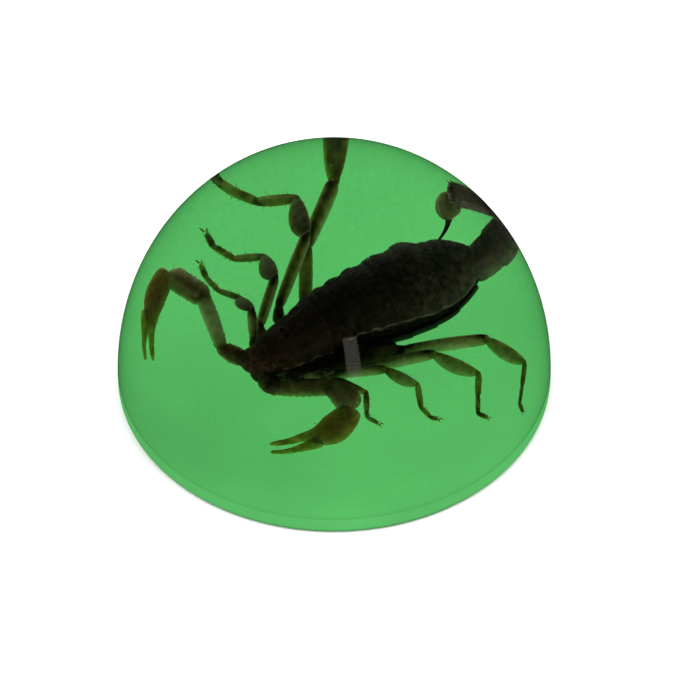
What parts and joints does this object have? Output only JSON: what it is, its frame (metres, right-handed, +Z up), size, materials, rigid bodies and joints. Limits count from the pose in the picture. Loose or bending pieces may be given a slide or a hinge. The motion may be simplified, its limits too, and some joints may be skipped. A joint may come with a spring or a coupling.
{
  "type": "scorpion paperweight",
  "caption": "Clear cast-resin dome paperweight with a real scorpion sealed inside, on a thin green glow-powder base layer that it rests on flat.",
  "frame": {"origin": "centre of the flat underside, on the table", "axes": "+Z up along the dome's axis of symmetry; -Y is the side that faces the camera"},
  "size_m": [0.066, 0.066, 0.038],
  "materials": {
    "clear_resin": "polished clear polyester casting resin, see-through, index about 1.5",
    "glow_resin": "opaque green resin loaded with glow powder, satin outside, fine grain",
    "scorpion_cuticle": "dark brown-black scorpion cuticle, amber where it is thin"
  },
  "bodies": {
    "root": {"clear_dome": "clear_resin", "glow_layer": "glow_resin"}
  },
  "joints": []
}
